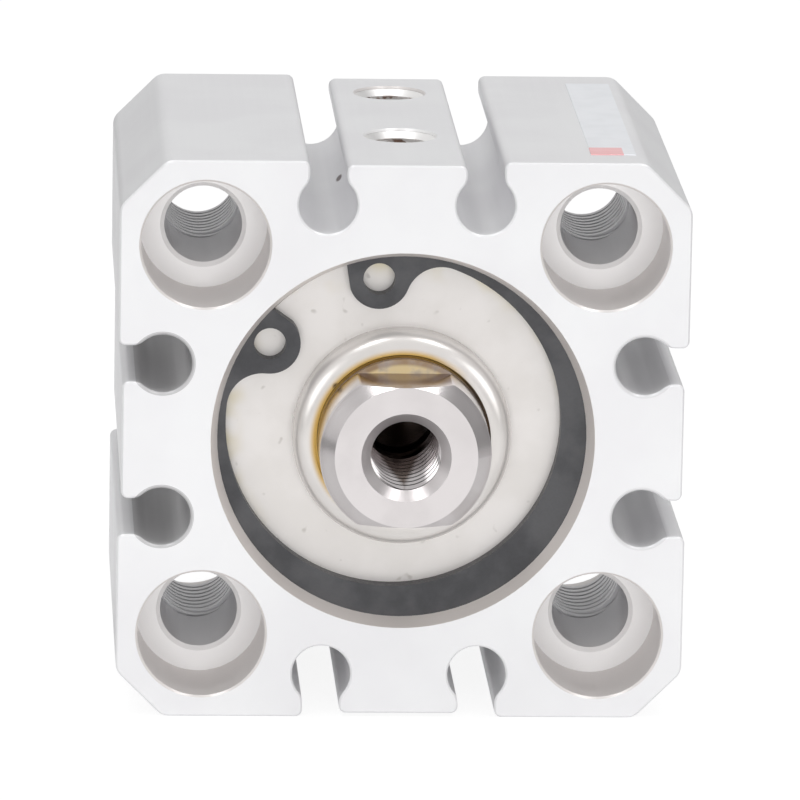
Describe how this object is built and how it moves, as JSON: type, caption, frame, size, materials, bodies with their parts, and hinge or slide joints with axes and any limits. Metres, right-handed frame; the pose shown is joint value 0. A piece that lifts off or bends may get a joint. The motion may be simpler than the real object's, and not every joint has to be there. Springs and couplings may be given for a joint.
{
  "type": "compact pneumatic cylinder",
  "caption": "Square-bodied compact pneumatic cylinder: a short round rod slides out of a bored block with counterbored corner holes, keyhole switch grooves and threaded air ports on top.",
  "frame": {"origin": "on the bore axis in the plane of the rod-side mounting face", "axes": "-Y is the way the rod extends, +Z is the side with the air ports, +X is right seen from the rod side"},
  "size_m": [0.04, 0.0375, 0.0401],
  "materials": {
    "anodised_body": "clear anodised, fine matt",
    "cover_alloy": "machined, faintly pitted",
    "bronze": "oiled sintered bronze",
    "ring_steel": "phosphated, dark grey",
    "rod_steel": "ground and polished",
    "piston_alloy": "machined",
    "screw_steel": "blackened",
    "seal_rubber": "smooth nitrile",
    "bumper_rubber": "amber urethane",
    "label_foil": "blank silvery foil"
  },
  "bodies": {
    "barrel": {"cylinder_body": "anodised_body", "rod_cover": "cover_alloy", "rod_bush": "bronze", "rod_seal": "seal_rubber", "rod_cover_o_ring": "seal_rubber", "front_retaining_ring": "ring_steel", "rear_cover": "cover_alloy", "rear_cover_o_ring": "seal_rubber", "rear_retaining_ring": "ring_steel", "blank_label": "label_foil"},
    "slider": {"piston_seal": "seal_rubber"},
    "rod": {"piston_rod": "rod_steel", "piston": "piston_alloy", "piston_rod_o_ring": "seal_rubber", "piston_screw": "screw_steel", "front_bumper": "bumper_rubber", "rear_bumper": "bumper_rubber"}
  },
  "joints": [
    {"name": "rod_slide", "type": "slide", "parent": "barrel", "child": "slider", "axis": [0, -1, 0], "range_m": [0, 0.01]},
    {"name": "rod_turn", "type": "hinge", "parent": "slider", "child": "rod", "pos_m": [0, 0, 0], "axis": [0, 1, 0], "continuous": true}
  ]
}
